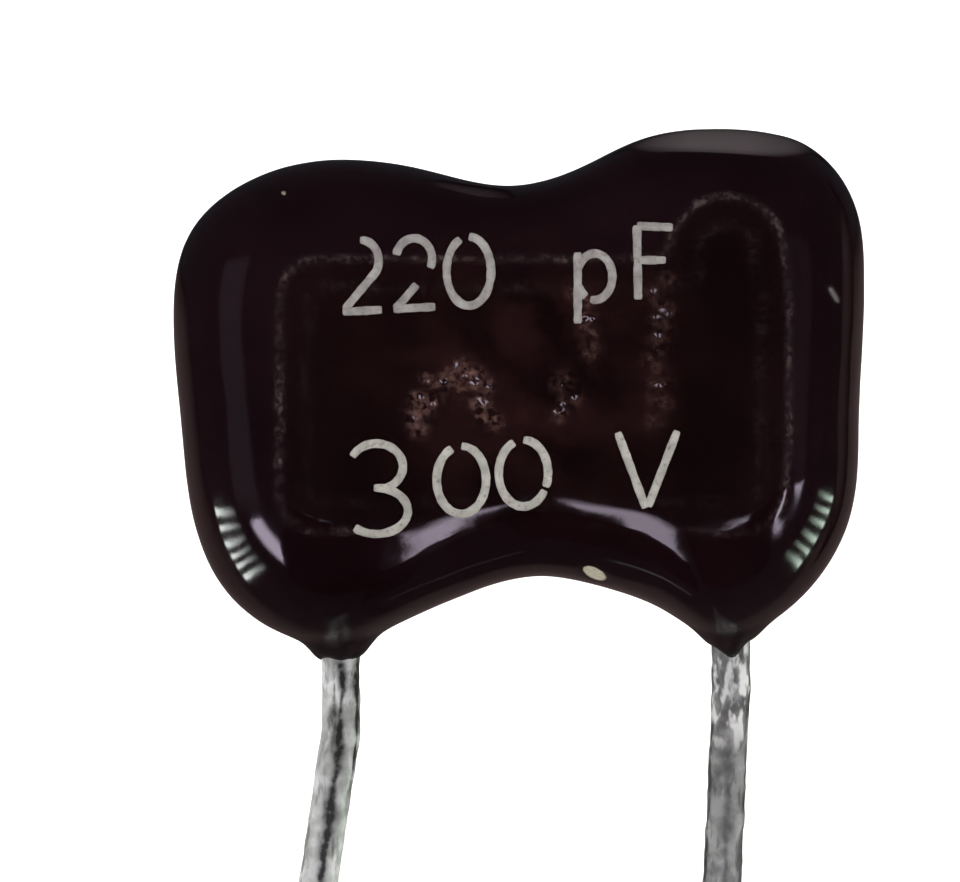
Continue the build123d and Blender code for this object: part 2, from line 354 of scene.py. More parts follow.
def coat_base():
    """The coat's smooth shape, as rings of points from the front to the back."""
    outline = closed_curve(OUTLINE, AROUND)
    low, high = outline.min(axis=0), outline.max(axis=0)
    middle = (low + RIM_LOW + high - RIM_HIGH) / 2
    rings = []
    for share, turn in ring_places():
        level = abs(math.cos(math.radians(turn)))
        inner_low = low + (1 - level) * np.array(RIM_LOW)
        inner_high = high - (1 - level) * np.array(RIM_HIGH)
        ring = inner_low + (outline - low) * (inner_high - inner_low) / (high - low)
        ring = middle + share * (ring - middle)
        y = -math.copysign(HALF_THICKNESS * math.sqrt(1 - level**3), turn)
        rings.append(np.column_stack([ring[:, 0], np.full(AROUND, y), ring[:, 1]]))
    return np.array(rings)


def grid_normals(rings):
    """The way out of the skin at each point of its rings."""
    along = np.gradient(rings, axis=0)
    around = np.roll(rings, -1, axis=1) - np.roll(rings, 1, axis=1)
    out = np.cross(around, along)
    return out / np.maximum(np.linalg.norm(out, axis=2, keepdims=True), 1e-12)


def plateau_distance(x, z):
    """How far points lie outside the raised outline of the clamped stack."""
    stack = rounded_box(x, z, STACK_CORNERS, STACK_ROUNDING)
    clamp = rounded_box(x, z, CLAMP_CORNERS, CLAMP_ROUNDING)
    return soft_min(stack, clamp, CORNER_BLEND)


def kept_by_melt(x, z):
    """How much of the stack's outline shows: little just above the waist."""
    return 1 - bell(x - MELT_AT[0], MELT_SIZE[0]) * bell(z - MELT_AT[1], MELT_SIZE[1])


def face_relief(x, z):
    """How far each face stands out from its base: highest on the stack's edges."""
    edge = plateau_distance(x, z)
    width = PLATEAU_EDGE * (1 + MELT_SOFTENING * (1 - kept_by_melt(x, z)))
    plateau = PLATEAU_RISE * (ramp(-edge / width, -1, 1) - 1)
    return plateau - SAG_DEPTH * bell(x - SAG_X, SAG_WIDTH)


def pits():
    """Each small bubble or pit: x, z, radius, height, and coppery tint with painted glints."""
    random = np.random.default_rng(PIT_SEED)
    found = []
    for copper_and_glint_share, chain in PIT_CHAINS:
        path = np.array(chain)
        length = np.linalg.norm(np.diff(path, axis=0), axis=1).sum()
        for x, z in evenly(path, int(length / PIT_SPACING)):
            dx, dz = random.normal(0, PIT_SPREAD, 2)
            radius, height = random.uniform(*PIT_RADII), random.uniform(*PIT_HEIGHTS)
            found.append((x + dx, z + dz, radius, height, copper_and_glint_share))
    return found


def pit_relief(x, z):
    """The height that the bubbles and pits add, and how coppery they make each point, partly as
    painted glints.
    """
    height, copper_and_painted_glints = np.zeros_like(x), np.zeros_like(x)
    for pit_x, pit_z, radius, rise, copper_and_glint_share in pits():
        distance = np.hypot(x - pit_x, z - pit_z)
        height += rise * bell(distance, radius)
        copper_and_painted_glints = np.maximum(copper_and_painted_glints, copper_and_glint_share * bell(distance, 1.5 * radius))
    return height, copper_and_painted_glints


def segment_distance(x, z, start, end):
    """How far points lie from the line between two points."""
    start, end = np.array(start), np.array(end)
    run = end - start
    share = ((x - start[0]) * run[0] + (z - start[1]) * run[1]) / (run @ run)
    share = np.clip(share, 0, 1)
    return np.hypot(x - start[0] - share * run[0], z - start[1] - share * run[1])


def chip_share(x, z):
    """How much each point lies in the chip on the waist's edge."""
    dx, dz = x - CHIP_AT[0], z - CHIP_AT[1]
    length = math.hypot(1, CHIP_SLOPE)
    along = (dx + dz * CHIP_SLOPE) / length
    across = (dz - dx * CHIP_SLOPE) / length
    return np.exp(-(((along / CHIP_LENGTH) ** 2 + (across / CHIP_WIDTH) ** 2) ** 3))


def meniscus_fall(points, out, side):
    """How far the resin runs down towards one wire, at each point under the coat."""
    dx, dy = points[:, 0] - wire_exit[side][0], points[:, 1] - wire_exit[side][1]
    distance = np.hypot(dx, dy)
    front = np.clip(-dy / np.maximum(distance, MENISCUS_START), 0, 1) ** 5
    fall = MENISCUS_FALL[side] + DRIP_FALL[side] * front
    fall *= 1 + 0.25 * noise_at(points, 3.0)
    near = bell(np.maximum(distance - MENISCUS_START, 0), MENISCUS_SPREAD)
    return fall * near * ramp(-out[:, 2], 0.1, 0.6)


def neck_share(points):
    """How dusty the resin is: most where the wires leave it, less along its foot."""
    share = 0.5 * ramp(-points[:, 2], -NECK_TOP, -0.1)
    for side in SIDES:
        exit_x, exit_y = wire_exit[side]
        distance = np.linalg.norm(points - (exit_x, exit_y, 0.0), axis=1)
        share = np.maximum(share, bell(distance, NECK_TOP))
    return share


def flatten_lobe(points):
    """Presses the top of the right lobe back to its flat."""
    normal = np.array(FLAT_NORMAL) / np.linalg.norm(FLAT_NORMAL)
    above = (points - np.array(FLAT_POINT)) @ normal
    above += FLAT_CROWN * ((points[:, :2] - FLAT_MIDDLE) ** 2).sum(axis=1)
    pressed = soft_min(above, np.zeros_like(above), FLAT_BLEND)
    local = ramp(points[:, 0], 0.3, 1.6) * ramp(points[:, 2], 7.4, 7.9)
    change = (pressed - above) * local * ramp(above, -3 * FLAT_BLEND, 0)
    return points + change[:, None] * normal


def ridge_share(points, edge, facing):
    """How much each point lies on the broken ridges round the clamped stack."""
    patchy = 0.3 + 0.7 * ramp(noise_at(points, 3.1, 7.0), -0.15, 0.45)
    inner = SECOND_RIDGE_SHARE * bell(edge + SECOND_RIDGE_IN, 2 * RIDGE_WIDTH)
    ridge = (bell(edge, RIDGE_WIDTH) + inner) * patchy * facing
    return ridge * kept_by_melt(points[:, 0], points[:, 2])


def flaw_relief(points, facing):
    """The burst bubble, scratch and chip: their height, and how pale and scraped it is."""
    x, z = points[:, 0], points[:, 2]
    bubble = np.hypot(x - BUBBLE_AT[0], z - BUBBLE_AT[1])
    scratch = bell(segment_distance(x, z, SCRATCH_FROM, SCRATCH_TO), SCRATCH_WIDTH) * facing
    chip = chip_share(x, z) * (points[:, 1] < 0)
    height = facing * BUBBLE_RIM_HEIGHT * bell(bubble - BUBBLE_RADIUS, BUBBLE_RIM_WIDTH)
    height -= facing * BUBBLE_HOLE_DEPTH * bell(bubble, BUBBLE_HOLE_WIDTH)
    height -= SCRATCH_DEPTH * scratch + CHIP_DEPTH * chip
    pale = np.maximum(chip, bell(bubble, 1.1 * BUBBLE_HOLE_WIDTH) * facing)
    return height, pale, scratch


def coat_points():
    """The coat's finished points, and what the material needs to know at each."""
    rings = coat_base()
    out = grid_normals(rings).reshape(-1, 3)
    base = rings.reshape(-1, 3)
    x, z = base[:, 0], base[:, 2]
    facing = ramp(-out[:, 1], *FACING)
    behind = ramp(out[:, 1], *FACING)
    edge = plateau_distance(x, z)
    ridge = ridge_share(base, edge, facing)
    pit_height, copper_and_painted_glints = pit_relief(x, z)
    flaw_height, pale, scratch = flaw_relief(base, facing)
    rise = face_relief(x, z) * (facing + behind)
    rise += RIDGE_RISE * ridge + pit_height * facing + flaw_height
    rise += SWELL_HEIGHT * noise_at(base, SWELLS_PER_MM)
    rise += RIPPLE_HEIGHT * noise_at(base, RIPPLES_PER_MM, 3.0) - COAT_INSET
    points = flatten_lobe(base + rise[:, None] * out)
    points[:, 2] -= sum(meniscus_fall(points, out, side) for side in SIDES)
    marks = {
        "copper_and_painted_glints": copper_and_painted_glints * facing,
        "ridge": ridge,
        "pale": pale,
        "scratch": scratch,
        "neck": neck_share(points),
        "thin": ramp(-edge, -0.2, 0.5) * facing,
    }
    return points, marks


def make_coat():
    """The glossy outer dip."""
    points, marks = coat_points()
    rings = len(ring_places())
    ends = [points[:AROUND].mean(axis=0), points[-AROUND:].mean(axis=0)]
    faces = ring_faces(rings, AROUND)
    coat = mesh_object("coat", np.vstack([points, ends]), faces, resin_material())
    for name, values in marks.items():
        mark_points(coat, name, values)
    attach(coat, "root")
    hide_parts("outer_coat")
    return coat


# --------------------------------------------------------------------- wires


def tree_of(source):
    """A search tree of an object's mesh, in millimetres."""
    points = [vertex.co / METRE for vertex in source.data.vertices]
    return BVHTree.FromPolygons(points, [p.vertices[:] for p in source.data.polygons])


def touch(tree, start, direction):
    """Where a line first meets the tree's skin, or None."""
    return tree.ray_cast(Vector(start), Vector(direction))[0]


def feel_wire(tree, z, middle):
    """A wire's middle and half sizes at one height, felt from both sides each way."""
    x, y = middle
    for _ in range(2):
        low = touch(tree, (x - 3, y, z), (1, 0, 0)).x
        high = touch(tree, (x + 3, y, z), (-1, 0, 0)).x
        x, half_x = (low + high) / 2, (high - low) / 2
        low = touch(tree, (x, y - 3, z), (0, 1, 0)).y
        high = touch(tree, (x, y + 3, z), (0, -1, 0)).y
        y, half_y = (low + high) / 2, (high - low) / 2
    return x, y, half_x, half_y


def wire_sections(side):
    """The CAD wire's sections from its tip to its flattened end: z, x, y, half sizes."""
    tree = tree_of(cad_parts[f"lead_{side}"])
    low, high = (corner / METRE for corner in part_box(f"lead_{side}"))
    margin = 0.002
    heights = np.arange(low.z + margin, high.z, WIRE_STEP)
    sections, middle = [], None
    for z in heights:
        if middle is None:
            middle = tip_middle(side, low)
        felt = feel_wire(tree, z, middle)
        middle = felt[:2]
        sections.append((z, *felt))
    return np.array(sections)


def tip_middle(side, low):
    """Where the wire's tip is, from the CAD vertices nearest its lowest corner."""
    vertices = [v.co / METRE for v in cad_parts[f"lead_{side}"].data.vertices]
    tip = np.array([v for v in vertices if v.z < low.z + 0.01])
    return (tip[:, 0].min() + tip[:, 0].max()) / 2, (tip[:, 1].min() + tip[:, 1].max()) / 2


def seam_and_edge_shade_shares(side, points, out):
    """How much each point of a wire lies in one of its dark seams, or in the painted shade along
    its edges.
    """
    down = np.column_stack([np.zeros(len(points)), np.zeros(len(points)), points[:, 2]])
    total = np.zeros(len(points))
    for number, (at, width, low, high, strength) in enumerate(SEAMS_AND_EDGE_SHADE[side]):
        wander = noise_at(down, 1.3, 10.0 * number + 3) + 0.3 * noise_at(down, 4.6, 7.0)
        wander *= SEAM_WANDER * (1 - abs(at))
        wide = width + 0.35 * noise_at(points, 2.2, 6.0 * number)
        share = bell(out[:, 0] - at - wander, wide)
        reach = ramp(points[:, 2], low, low + 0.5) * ramp(-points[:, 2], -high, 0.3 - high)
        total = np.maximum(total, strength * share * reach)
    return total


def wire_points(side, sections):
    """Rings round the sections, lumpy where the wire is bare, and each point's share of dark seam
    and painted edge shade.
    """
    angles = np.linspace(0, 2 * math.pi, WIRE_SIDES, endpoint=False)
    cos, sin = np.cos(angles), np.sin(angles)
    rings = []
    for z, x, y, half_x, half_y in sections:
        flatness = 1 - min(half_x, half_y) / max(half_x, half_y)
        power = 2 / (2 + 4 * max(flatness - 0.1, 0))
        ring_x = x + half_x * np.sign(cos) * np.abs(cos) ** power
        ring_y = y + half_y * np.sign(sin) * np.abs(sin) ** power
        rings.append(np.column_stack([ring_x, ring_y, np.full(WIRE_SIDES, z)]))
    points = np.vstack(rings)
    middles = np.repeat(sections[:, 1:3], WIRE_SIDES, axis=0)
    out = points[:, :2] - middles
    out /= np.maximum(np.linalg.norm(out, axis=1, keepdims=True), 1e-9)
    bare = ramp(BARE_WIRE_TOP - points[:, 2], 0, 0.1)
    stretched = points * (1, 1, 0.45)
    relief = LUMP_HEIGHT * noise_at(stretched, 2.0, 11.0)
    relief += DENT_HEIGHT * noise_at(points, 5.0, 5.0)
    seams_and_painted_edge_shade = seam_and_edge_shade_shares(side, points, out)
    relief -= SEAM_DEPTH * seams_and_painted_edge_shade
    points[:, :2] += out * (relief * bare)[:, None]
    return points, seams_and_painted_edge_shade


def make_wire(side):
    """One tinned wire, from its nipped tip to its flattened end on the clamp."""
    sections = wire_sections(side)
    points, seams_and_painted_edge_shade = wire_points(side, sections)
    ends = [points[:WIRE_SIDES].mean(axis=0), points[-WIRE_SIDES:].mean(axis=0)]
    faces = ring_faces(len(sections), WIRE_SIDES)
    # The left wire's lighter greys are painted light, and the right wire's darker greys are
    # painted shade
    material = tinned_material(f"tinned_wire_{side}", *WIRE_LIT_AND_SHADED_TONES[side])
    wire = mesh_object(f"wire_{side}", np.vstack([points, ends]), faces, material)
    mark_points(wire, "seams_and_painted_edge_shade", seams_and_painted_edge_shade)
    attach(wire, "root")
    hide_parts(f"lead_{side}")


def exit_of(side):
    """Where a wire leaves the coat, as (x, y)."""
    tree = tree_of(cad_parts[f"lead_{side}"])
    low, high = (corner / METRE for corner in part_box(f"lead_{side}"))
    return feel_wire(tree, 0.0, ((low.x + high.x) / 2, 0.0))[:2]


# ------------------------------------------------------------------ printing


def arc(x, z, half_x, half_z, start, end):
    """Points along part of an ellipse, by angle in degrees from the right."""
    angles = np.radians(np.linspace(start, end, 24))
    return [(x + half_x * math.cos(a), z + half_z * math.sin(a)) for a in angles]


# Each character's strokes in a box one wide and one high
GLYPHS = {
    "0": [arc(0.5, 0.5, 0.5, 0.5, 112, 450)],
    "2": [arc(0.48, 0.71, 0.44, 0.29, 170, -32) + [(0.04, 0.0), (1.0, 0.03)]],
    "3": [
        arc(0.46, 0.745, 0.42, 0.255, 155, -70) + [(0.42, 0.51)],
        [(0.42, 0.51)] + arc(0.46, 0.255, 0.5, 0.255, 85, -155),
    ],
    "p": [[(0.06, 0.98), (0.06, -0.42)], arc(0.5, 0.5, 0.46, 0.46, 160, -160)],
    "F": [[(0.05, 1.0), (0.08, 0.0)], [(0.05, 0.99), (0.98, 0.97)], [(0.07, 0.53), (0.8, 0.53)]],
    "V": [[(0.0, 1.0), (0.46, 0.0)], [(0.98, 1.02), (0.50, 0.02)]],
}


def stroke_paths():
    """Every stroke of the marking as evenly spaced points on the face."""
    for character, left, foot, width, height in MARKING:
        for stroke in GLYPHS[character]:
            path = np.array(stroke) * (width, height) + (left, foot)
            length = np.linalg.norm(np.diff(path, axis=0), axis=1).sum()
            yield evenly(path, max(4, round(length / INK_STEP)))


def unworn_runs(path):
    """The stretches of a stroke that wear has left."""
    places = np.column_stack([path[:, 0], np.zeros(len(path)), path[:, 1]])
    kept = noise_at(places, 1.45, 21.0) > WORN_BELOW
    runs, run = [], []
    for point, keep in zip(path, kept):
        if keep:
            run.append(point)
        elif run:
            runs.append(np.array(run))
            run = []
    runs.append(np.array(run))
    return [run for run in runs if len(run) > 4]


def ink_section(point, across, half, tree):
    """One loop round a stroke: a thin crowned layer that sits on the coat."""
    profile = ((-1, -0.8), (-0.72, 0.75), (0, 1), (0.72, 0.75), (1, -0.8), (0, -1.8))
    loop = []
    for share, height in profile:
        x, z = point + share * half * across
        hit = touch(tree, (x, -5, z), (0, 1, 0))
        loop.append((x, hit.y - height * INK_RISE, z))
    return loop


def ink_strip(run, tree):
    """The points and faces of one unworn stretch of a stroke."""
    along = np.gradient(run, axis=0)
    along /= np.linalg.norm(along, axis=1, keepdims=True)
    places = np.column_stack([run[:, 0], np.zeros(len(run)), run[:, 1]])
    ragged = 1 + 0.14 * noise_at(places, 6.0) + 0.08 * noise_at(places, 15.0)
    travel = np.arange(len(run)) * INK_STEP
    end = np.minimum(travel, travel[-1] - travel) + INK_STEP
    rounding = np.sqrt(1 - (1 - np.clip(end / (STROKE_WIDTH / 2), 0, 1)) ** 2)
    loops = []
    for point, (step_x, step_z), width in zip(run, along, ragged * rounding):
        across = np.array((-step_z, step_x))
        loops += ink_section(point, across, STROKE_WIDTH / 2 * width, tree)
    points = np.array(loops)
    sides = len(points) // len(run)
    ends = [points[:sides].mean(axis=0), points[-sides:].mean(axis=0)]
    return np.vstack([points, ends]), ring_faces(len(run), sides)


def make_marking(coat):
    """The printed value and voltage, one mesh that hugs the coat."""
    tree = tree_of(coat)
    points, faces = [], []
    for path in stroke_paths():
        for run in unworn_runs(path):
            start = len(points)
            new_points, new_faces = ink_strip(run, tree)
            points.extend(new_points)
            faces += [tuple(start + i for i in face) for face in new_faces]
    marking = mesh_object("marking", points, faces, ink_material())
    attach(marking, "root")


# ----------------------------------------------------------------- materials


def add(tree, kind, inputs=None, **settings):
    """A shader node with its settings, and its inputs set or linked."""
    node = tree.nodes.new("ShaderNode" + kind)
    for name, value in settings.items():
        setattr(node, name, value)
    for key, value in (inputs or {}).items():
        if isinstance(value, bpy.types.NodeSocket):
            tree.links.new(value, node.inputs[key])
        else:
            node.inputs[key].default_value = value
    return node


def new_material(name):
    """An empty node material, with its output node."""
    material = bpy.data.materials.new(name)
    material.use_nodes = True
    material.node_tree.nodes.clear()
    return material, material.node_tree


def place(tree, stretch=(1, 1, 1)):
    """Each point's place on the object, in millimetres."""
    coordinates = add(tree, "TexCoord").outputs["Object"]
    scale = Vector(stretch) / METRE
    return add(tree, "Mapping", {"Vector": coordinates, "Scale": scale}).outputs[0]


def grain(tree, where, per_mm, detail=3.0, roughness=0.5):
    """Noise from 0 to 1."""
    inputs = {"Vector": where, "Scale": per_mm, "Detail": detail, "Roughness": roughness}
    return add(tree, "TexNoise", inputs).outputs["Fac"]


def between(tree, value, low, high, new_low=0.0, new_high=1.0):
    """value moved from one range to another and kept inside it."""
    inputs = {
        "Value": value,
        "From Min": low,
        "From Max": high,
        "To Min": new_low,
        "To Max": new_high,
    }
    return add(tree, "MapRange", inputs).outputs["Result"]


def times(tree, a, b):
    """Two values multiplied."""
    return add(tree, "Math", {0: a, 1: b}, operation="MULTIPLY").outputs[0]


def blend(tree, share, first, second):
    """first where share is 0 and second where it is 1, for colours."""
    node = add(tree, "Mix", data_type="RGBA")
    sockets = [s for s in node.inputs if s.enabled]
    for socket, value in zip(sockets, (share, first, second)):
        if isinstance(value, bpy.types.NodeSocket):
            tree.links.new(value, socket)
        else:
            socket.default_value = value if isinstance(value, float) else (*value, 1.0)
    return next(s for s in node.outputs if s.enabled)


def bump(tree, height, depth_mm, normal=None):
    """A bumped normal, where height's whole range is depth_mm."""
    inputs = {"Height": height, "Distance": depth_mm * METRE, "Strength": 1.0}
    if normal is not None:
        inputs["Normal"] = normal
    return add(tree, "Bump", inputs).outputs["Normal"]


def finish_material(tree, **inputs):
    """Joins a Principled shader with these inputs to the material's output."""
    named = {key.replace("_", " "): value for key, value in inputs.items()}
    shader = add(tree, "BsdfPrincipled", named)
    add(tree, "OutputMaterial", {"Surface": shader.outputs[0]})


def resin_colour(tree, where, marks):
    """Dark maroon: redder in the middle with a painted glow, coppery over bubbles with partly
    painted glints, paler along the ridges with partly painted highlights, and dusty round the
    wires.
    """
    cloud = between(tree, grain(tree, where, 0.45, 4.0), 0.38, 0.64)
    colour = blend(tree, cloud, (0.0042, 0.0011, 0.0017), (0.0066, 0.0021, 0.0030))
    deep = blend(tree, cloud, (0.0030, 0.0005, 0.0006), (0.0056, 0.0014, 0.0016))
    colour = blend(tree, marks["thin"], colour, deep)
    dust = between(tree, grain(tree, where, 4.5, 4.0), 0.36, 0.68)
    colour = blend(tree, times(tree, marks["neck"], dust), colour, (0.020, 0.0085, 0.0095))
    # Painted glow: a redder middle that stands for light scattered back out of the resin
    glow = times(tree, painted_centre_glow(tree, where), between(tree, grain(tree, where, 1.1), 0.4, 0.7))
    colour = blend(tree, glow, colour, (0.0145, 0.0044, 0.0042))
    # Coppery specks over the bubbles: partly their own tint, partly painted glints
    copper_and_glint_specks = between(tree, grain(tree, where, 9.0, 4.0), 0.40, 0.76)
    colour = blend(tree, times(tree, marks["copper_and_painted_glints"], copper_and_glint_specks), colour, (0.140, 0.074, 0.060))
    # Pale streaks along the ridges round the stack: the thin coat's edge, partly painted
    # highlights of scattered light
    ridge_streaks_and_painted_glints = between(tree, grain(tree, where, 10.0, 3.0), 0.42, 0.66, 0.12, 1.0)
    colour = blend(tree, times(tree, marks["ridge"], ridge_streaks_and_painted_glints), colour, (0.075, 0.052, 0.050))
    colour = blend(tree, marks["scratch"], colour, (0.17, 0.15, 0.14))
    mottle = between(tree, grain(tree, where, 14.0), 0.3, 0.7)
    beige = blend(tree, mottle, (0.36, 0.32, 0.22), (0.55, 0.50, 0.38))
    return blend(tree, between(tree, marks["pale"], 0.35, 0.6), colour, beige)


def resin_material():
    """The glossy dip: duller where it is chipped, burst or dusty."""
    material, tree = new_material("dark_resin")
    where = place(tree)
    marks = {
        name: add(tree, "Attribute", attribute_name=name).outputs["Fac"]
        for name in ("copper_and_painted_glints", "ridge", "pale", "scratch", "neck", "thin")
    }
    worn = between(tree, grain(tree, where, 2.6, 6.0), 0.42, 0.72, 0.07, 0.12)
    dull = add(tree, "Math", {0: marks["pale"], 1: marks["neck"]}, operation="MAXIMUM")
    dull = times(tree, dull.outputs[0], 0.36)
    rough = add(tree, "Math", {0: worn, 1: dull}, operation="ADD")
    fine = bump(tree, grain(tree, where, 5.0, 2.0), 0.0008)
    peel = bump(tree, grain(tree, where, 22.0, 2.0), 0.0002, fine)
    finish_material(
        tree,
        Base_Color=resin_colour(tree, where, marks),
        Roughness=rough.outputs[0],
        Specular_IOR_Level=between(tree, marks["neck"], 0.2, 1.0, 0.5, 0.2),
        Normal=peel,
        IOR=1.52,
    )
    return material


def painted_centre_glow(tree, where):
    """1 in the middle of the face, where a redder glow is painted for the light that gets furthest
    into the resin.
    """
    middle = (-0.1, -HALF_THICKNESS, 4.5)
    offset = add(tree, "VectorMath", {0: where, 1: middle}, operation="SUBTRACT").outputs[0]
    narrowed = add(tree, "VectorMath", {0: offset, 1: (0.8, 0.8, 1.0)}, operation="MULTIPLY")
    length = add(tree, "VectorMath", {0: narrowed.outputs[0]}, operation="LENGTH").outputs["Value"]
    return between(tree, length, 0.9, 2.7, 1.0, 0.0)


def ink_material():
    """Pale grey stamping ink, mottled and slightly worn through."""
    material, tree = new_material("pale_ink")
    where = place(tree)
    height = add(tree, "SeparateXYZ", {0: where}).outputs["Z"]
    upper = between(tree, height, 4.2, 4.8)
    faint = blend(tree, upper, (0.30, 0.285, 0.25), (0.19, 0.175, 0.165))
    full = blend(tree, upper, (0.47, 0.455, 0.40), (0.33, 0.315, 0.29))
    mottle = between(tree, grain(tree, where, 5.0, 5.0), 0.3, 0.7)
    colour = blend(tree, mottle, faint, full)
    thin = between(tree, grain(tree, where, 16.0, 3.0), 0.56, 0.74, 0.0, 0.6)
    colour = blend(tree, thin, colour, (0.08, 0.055, 0.05))
    rough = between(tree, mottle, 0.0, 1.0, 0.5, 0.72)
    normal = bump(tree, grain(tree, where, 24.0), 0.004)
    finish_material(tree, Base_Color=colour, Roughness=rough, Normal=normal)
    return material


def tinned_material(name, dull, bright):
    """Tinned wire: blotched grey, drawn streaks, dark seams, painted shade along its edges, and
    painted glints near the body.
    """
    material, tree = new_material(name)
    where = place(tree)
    drawn = grain(tree, place(tree, (1, 1, 0.3)), 7.0, 5.0)
    blotch = grain(tree, where, 2.8, 5.0)
    seams_and_painted_edge_shade = add(tree, "Attribute", attribute_name="seams_and_painted_edge_shade").outputs["Fac"]
    painted_glints = painted_glints_near_body(tree, where)
    colour = blend(tree, between(tree, blotch, 0.36, 0.62), dull, bright)
    dark = tuple(0.35 * level for level in dull)
    colour = blend(tree, between(tree, drawn, 0.54, 0.72, 0.0, 0.8), colour, dark)
    # Painted glints: near-white colour on patches of the solder below the resin
    colour = blend(tree, painted_glints, colour, (1.0, 1.0, 0.97))
    # Near-black over the dark seams, and over the painted shade along the wire's edges
    seam_grit_and_edge_shade = times(tree, seams_and_painted_edge_shade, between(tree, grain(tree, where, 7.0, 2.0), 0.3, 0.65, 0.75, 1.25))
    colour = blend(tree, between(tree, seam_grit_and_edge_shade, 0.0, 0.95), colour, (0.035, 0.038, 0.033))
    rough = between(tree, blotch, 0.3, 0.7, 0.34, 0.55)
    coarse = bump(tree, grain(tree, where, 3.4, 3.0), 0.03)
    fine = bump(tree, drawn, 0.010, coarse)
    finish_material(tree, Base_Color=colour, Metallic=0.35, Roughness=rough, Normal=fine)
    return material


def painted_glints_near_body(tree, where):
    """Patches of painted glints on the bright solder over the first millimetre or so below the
    resin.
    """
    height = add(tree, "SeparateXYZ", {0: where}).outputs["Z"]
    near = between(tree, height, -1.8, -1.0)
    patches = between(tree, grain(tree, place(tree, (1, 1, 0.5)), 5.4, 2.0), 0.50, 0.60)
    return times(tree, near, patches)


def layer_material(name, dark, light, per_mm, rough, metallic=0.0, depth=0.004, **more):
    """A two-tone mottled material with its own grain, for the layers inside."""
    material, tree = new_material(name)
    where = place(tree)
    mottle = between(tree, grain(tree, where, per_mm, 4.0), 0.32, 0.68)
    colour = blend(tree, mottle, dark, light)
    fine = grain(tree, where, 6 * per_mm, 3.0)
    roughness = between(tree, fine, 0.3, 0.7, rough[0], rough[1])
    normal = bump(tree, fine, depth)
    finish_material(
        tree,
        Base_Color=colour,
        Roughness=roughness,
        Metallic=metallic,
        Normal=normal,
        **more,
    )
    return material


def dress_inside():
    """Better materials for the CAD layers under the coat, by the start of their names."""
    looks = {
        "undercoat": layer_material(
            "matte_resin", (0.055, 0.022, 0.016), (0.14, 0.06, 0.042), 1.6, (0.55, 0.8)
        ),
        "cover_mica": mica_material("cover_mica_sheet"),
        "mica": mica_material("mica_sheet"),
        "silver": layer_material(
            "fired_silver", (0.55, 0.54, 0.51), (0.80, 0.79, 0.76), 2.5, (0.35, 0.6), 1.0, 0.002
        ),
        "foil": layer_material(
            "lead_tin_foil", (0.33, 0.33, 0.35), (0.56, 0.56, 0.57), 1.2, (0.3, 0.5), 1.0, 0.006
        ),
        "clamp": layer_material(
            "tinned_brass", (0.50, 0.45, 0.33), (0.68, 0.66, 0.58), 0.9, (0.25, 0.45), 1.0
        ),
        "solder": layer_material(
            "soft_solder", (0.42, 0.42, 0.42), (0.70, 0.70, 0.69), 1.8, (0.2, 0.4), 1.0, 0.01
        ),
    }
    for name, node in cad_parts.items():
        for start, material in looks.items():
            if name.startswith(start):
                node.data.materials.clear()
                node.data.materials.append(material)
                break


def mica_material(name):
    """Clear amber mica, faintly stained and cleaved in flakes."""
    return layer_material(
        name,
        (0.62, 0.47, 0.28),
        (0.86, 0.78, 0.62),
        0.7,
        (0.08, 0.22),
        depth=0.003,
        Transmission_Weight=0.7,
        IOR=1.58,
    )


# ---------------------------------------------------------- camera and studio


def make_camera():
    """A long lens square to the printed face."""
    data = bpy.data.cameras.new("camera")
    data.lens = data.sensor_width * CAMERA_DISTANCE / VIEW_WIDTH
    data.clip_start, data.clip_end = 1 * METRE, 5000 * METRE
    camera = bpy.data.objects.new("camera", data)
    camera.location = Vector((VIEW_X, -CAMERA_DISTANCE, VIEW_Z)) * METRE
    camera.rotation_euler = (math.radians(90), 0, 0)
    bpy.context.scene.collection.objects.link(camera)
    bpy.context.scene.camera = camera


def card_material(name, radiance, colour, soft, fades):
    """Light that is even over a card, but fades at its sides and towards each end."""
    material, tree = new_material(name)
    place_on_card = add(tree, "TexCoord").outputs["Object"]
    axes = add(tree, "SeparateXYZ", {0: place_on_card}).outputs
    across = add(tree, "Math", {0: axes["X"]}, operation="ABSOLUTE").outputs[0]
    strength = between(tree, across, 1 - soft, 1.0, radiance, 0.0)
    first, last = (2 * max(fade, 0.01) for fade in fades)
    strength = times(tree, strength, between(tree, axes["Y"], -1, first - 1))
    strength = times(tree, strength, between(tree, axes["Y"], 1 - last, 1, 1, 0))
    glow = add(tree, "Emission", {"Color": (*colour, 1.0), "Strength": strength})
    add(tree, "OutputMaterial", {"Surface": glow.outputs[0]})
    return material


def seen(turn, clock, distance=CARD_DISTANCE, origin=TARGET):
    """A place around origin: its turn away from the camera, and its angle from +X."""
    turn, clock = math.radians(turn), math.radians(clock)
    away = (math.sin(turn) * math.cos(clock), -math.cos(turn), math.sin(turn) * math.sin(clock))
    return Vector(origin) + Vector(away) * distance


